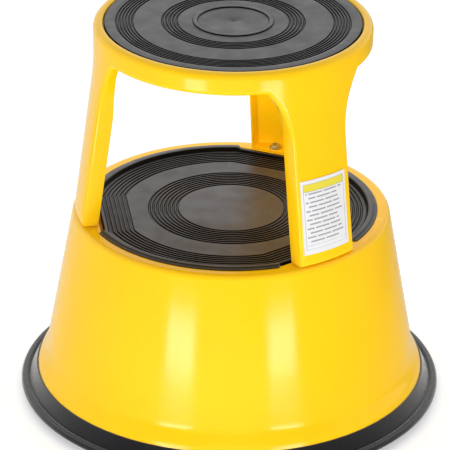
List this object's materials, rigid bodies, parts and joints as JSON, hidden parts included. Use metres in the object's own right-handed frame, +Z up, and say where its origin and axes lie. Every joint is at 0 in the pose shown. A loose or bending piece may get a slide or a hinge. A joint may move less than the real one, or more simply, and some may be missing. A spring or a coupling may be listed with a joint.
{
  "type": "kick step stool",
  "caption": "Round pressed-steel kick step stool: conical lower step with bumper ring, arched upper frame with ribbed treads, and spring-loaded retracting castors inside the base.",
  "frame": {"origin": "on the floor, on the stool's vertical centre line, with the stool standing unloaded on its castors", "axes": "+Z up; -Y towards the leg that carries the label; +X to that leg's right as seen from outside"},
  "size_m": [0.45, 0.45, 0.4226],
  "materials": {
    "yellow_enamel": "gloss baked enamel on pressed steel sheet",
    "black_rubber": "satin moulded bumper",
    "tread_rubber": "satin ribbed tread",
    "wheel_rubber": "matte",
    "label_film": "printed self-adhesive film, blank panels only",
    "zinc_steel": "bright zinc plate",
    "nylon": "moulded"
  },
  "bodies": {
    "stool": {"base_shell": "yellow_enamel", "upper_frame": "yellow_enamel", "bumper_ring": "black_rubber", "top_tread_mat": "tread_rubber", "lower_tread_mat": "tread_rubber", "leg_label": "label_film", "leg_1_bolt_left": "zinc_steel", "leg_1_bolt_right": "zinc_steel", "leg_1_nut_left": "zinc_steel", "leg_1_nut_right": "zinc_steel", "leg_2_bolt_left": "zinc_steel", "leg_2_bolt_right": "zinc_steel", "leg_2_nut_left": "zinc_steel", "leg_2_nut_right": "zinc_steel", "leg_3_bolt_left": "zinc_steel", "leg_3_bolt_right": "zinc_steel", "leg_3_nut_left": "zinc_steel", "leg_3_nut_right": "zinc_steel", "castor_1_bracket": "yellow_enamel", "castor_1_guide_bush": "nylon", "castor_1_spring": "zinc_steel", "castor_2_bracket": "yellow_enamel", "castor_2_guide_bush": "nylon", "castor_2_spring": "zinc_steel", "castor_3_bracket": "yellow_enamel", "castor_3_guide_bush": "nylon", "castor_3_spring": "zinc_steel"},
    "castor_1_slide": {"castor_1_stem": "zinc_steel", "castor_1_washer": "zinc_steel", "castor_1_clip": "zinc_steel"},
    "castor_1_swivel": {"castor_1_fork": "zinc_steel", "castor_1_axle": "zinc_steel"},
    "castor_1_wheel": {"castor_1_wheel_hub": "nylon", "castor_1_tyre": "wheel_rubber"},
    "castor_2_slide": {"castor_2_stem": "zinc_steel", "castor_2_washer": "zinc_steel", "castor_2_clip": "zinc_steel"},
    "castor_2_swivel": {"castor_2_fork": "zinc_steel", "castor_2_axle": "zinc_steel"},
    "castor_2_wheel": {"castor_2_wheel_hub": "nylon", "castor_2_tyre": "wheel_rubber"},
    "castor_3_slide": {"castor_3_stem": "zinc_steel", "castor_3_washer": "zinc_steel", "castor_3_clip": "zinc_steel"},
    "castor_3_swivel": {"castor_3_fork": "zinc_steel", "castor_3_axle": "zinc_steel"},
    "castor_3_wheel": {"castor_3_wheel_hub": "nylon", "castor_3_tyre": "wheel_rubber"}
  },
  "joints": [
    {"name": "castor_1_retract", "type": "slide", "parent": "stool", "child": "castor_1_slide", "axis": [0, 0, 1], "range_m": [0, 0.01], "stiffness_N_per_m": 3000, "springref_m": -0.02, "deforming": ["castor_1_spring"]},
    {"name": "castor_1_turn", "type": "hinge", "parent": "castor_1_slide", "child": "castor_1_swivel", "pos_m": [0, 0.14, 0.0443], "axis": [0, 0, 1], "continuous": true},
    {"name": "castor_1_roll", "type": "hinge", "parent": "castor_1_swivel", "child": "castor_1_wheel", "pos_m": [0, 0.154, 0.02], "axis": [-1, 0, 0], "continuous": true},
    {"name": "castor_2_retract", "type": "slide", "parent": "stool", "child": "castor_2_slide", "axis": [0, 0, 1], "range_m": [0, 0.01], "stiffness_N_per_m": 3000, "springref_m": -0.02, "deforming": ["castor_2_spring"]},
    {"name": "castor_2_turn", "type": "hinge", "parent": "castor_2_slide", "child": "castor_2_swivel", "pos_m": [-0.12124, -0.07, 0.0443], "axis": [0, 0, 1], "continuous": true},
    {"name": "castor_2_roll", "type": "hinge", "parent": "castor_2_swivel", "child": "castor_2_wheel", "pos_m": [-0.13337, -0.077, 0.02], "axis": [0.5, -0.866, 0], "continuous": true},
    {"name": "castor_3_retract", "type": "slide", "parent": "stool", "child": "castor_3_slide", "axis": [0, 0, 1], "range_m": [0, 0.01], "stiffness_N_per_m": 3000, "springref_m": -0.02, "deforming": ["castor_3_spring"]},
    {"name": "castor_3_turn", "type": "hinge", "parent": "castor_3_slide", "child": "castor_3_swivel", "pos_m": [0.12124, -0.07, 0.0443], "axis": [0, 0, 1], "continuous": true},
    {"name": "castor_3_roll", "type": "hinge", "parent": "castor_3_swivel", "child": "castor_3_wheel", "pos_m": [0.13337, -0.077, 0.02], "axis": [0.5, 0.866, 0], "continuous": true}
  ]
}
